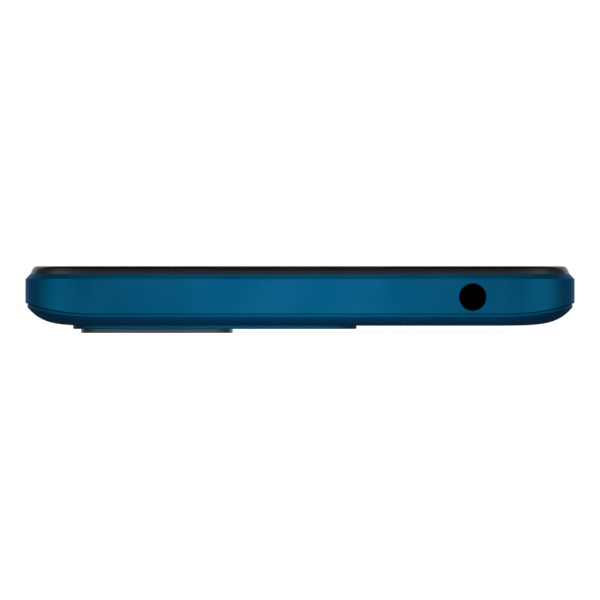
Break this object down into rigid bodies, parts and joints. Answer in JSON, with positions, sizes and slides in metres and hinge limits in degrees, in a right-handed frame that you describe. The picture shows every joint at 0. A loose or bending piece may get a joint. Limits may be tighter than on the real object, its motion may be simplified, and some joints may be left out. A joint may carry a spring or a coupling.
{
  "type": "smartphone",
  "caption": "Bar-shaped smartphone with a satin blue frame, ribbed back cover, raised camera group, large dark screen, side keys, card tray and headphone socket.",
  "frame": {"origin": "under the middle of the handset, at the level of the camera plate's face", "axes": "+Z out of the screen, -Y towards the edge with the headphone socket, +Y towards the charging edge, -X towards the keys, +X towards the card tray"},
  "size_m": [0.0769, 0.1696, 0.0093],
  "materials": {
    "frame_resin": "satin blue, moulded",
    "cover_resin": "blue with fine diagonal ribs",
    "surround_resin": "smooth satin blue",
    "plate_dark": "dark grey, polished",
    "lens_metal": "turned and anodised",
    "lens_glass": "coated",
    "flash_diffuser": "frosted with rings",
    "sensor_resin": "satin blue",
    "screen_glass": "polished, black border",
    "black_resin": "satin black",
    "panel": "dark display cell",
    "diffuser": "white film stack",
    "flex_foil": "amber polyimide",
    "mesh_metal": "fine woven mesh",
    "steel": "stamped",
    "plate_alloy": "pressed sheet",
    "contact_gold": "plated",
    "board_laminate": "green solder resist",
    "chip_black": "moulded",
    "battery_pouch": "laminated foil",
    "adhesive": "white stretch strip",
    "graphite": "grey sheet",
    "gasket_rubber": "red silicone"
  },
  "bodies": {
    "handset": {"mid_frame": "frame_resin", "back_cover": "cover_resin", "camera_surround": "surround_resin", "camera_plate": "plate_dark", "main_lens_ring": "lens_metal", "second_lens_ring": "lens_metal", "fingerprint_ring": "lens_metal", "main_lens_glass": "lens_glass", "second_lens_glass": "lens_glass", "flash_lens": "flash_diffuser", "fingerprint_sensor": "sensor_resin", "cover_glass": "screen_glass", "bezel_rim": "black_resin", "earpiece_receiver": "black_resin", "front_camera": "black_resin", "main_camera": "black_resin", "second_camera": "black_resin", "top_bracket": "black_resin", "bottom_bracket": "black_resin", "speaker_box": "black_resin", "headphone_jack": "black_resin", "usb_tongue": "black_resin", "antenna_cable": "black_resin", "lcd_panel": "panel", "backlight": "diffuser", "display_flex": "flex_foil", "key_flex": "flex_foil", "battery_flex": "flex_foil", "main_flex": "flex_foil", "earpiece_mesh": "mesh_metal", "speaker_mesh": "mesh_metal", "card_connector": "steel", "front_shield": "steel", "rear_shield": "steel", "top_screws": "steel", "bottom_screws": "steel", "motor_case": "steel", "usb_shell": "steel", "bottom_microphone": "steel", "mid_plate": "plate_alloy", "flash_led": "contact_gold", "jack_contacts": "contact_gold", "main_board": "board_laminate", "sub_board": "board_laminate", "processor_chip": "chip_black", "storage_chip": "chip_black", "battery": "battery_pouch", "battery_adhesive": "adhesive", "graphite_sheet": "graphite"},
    "power_key": {"power_key": "frame_resin"},
    "volume_key": {"volume_key": "frame_resin"},
    "card_tray": {"sim_tray": "frame_resin", "tray_gasket": "gasket_rubber"},
    "eject_rod": {"eject_rod": "steel"},
    "eject_lever": {"eject_lever": "steel"},
    "focus_barrel": {"focus_barrel": "black_resin"},
    "motor_rotor": {"motor_rotor": "contact_gold"}
  },
  "joints": [
    {"name": "power_key_press", "type": "slide", "parent": "handset", "child": "power_key", "axis": [1, 0, 0], "range_m": [0, 0.0003], "stiffness_N_per_m": 800},
    {"name": "volume_key_rock", "type": "hinge", "parent": "handset", "child": "volume_key", "pos_m": [-0.0356, -0.038, 0.0059], "axis": [0, 0, 1], "range_deg": [-1.5, 1.5], "stiffness_Nm_per_rad": 0.08},
    {"name": "card_tray_slide", "type": "slide", "parent": "handset", "child": "card_tray", "axis": [1, 0, 0], "range_m": [0, 0.038]},
    {"name": "eject_rod_push", "type": "slide", "parent": "handset", "child": "eject_rod", "axis": [-1, 0, 0], "range_m": [0, 0.0012]},
    {"name": "eject_lever_turn", "type": "hinge", "parent": "handset", "child": "eject_lever", "pos_m": [0.0006, -0.0535, 0.0061], "axis": [0, 0, 1], "range_deg": [0, 17.6]},
    {"name": "focus_travel", "type": "slide", "parent": "handset", "child": "focus_barrel", "axis": [0, 0, -1], "range_m": [0, 0.00025], "stiffness_N_per_m": 400},
    {"name": "motor_spin", "type": "hinge", "parent": "handset", "child": "motor_rotor", "pos_m": [-0.0265, 0.0705, 0.0051], "axis": [0, 0, 1], "continuous": true}
  ],
  "couplings": [
    {"joint": "eject_lever_turn", "follows": "eject_rod_push", "rad_per_m": 254.5}
  ]
}
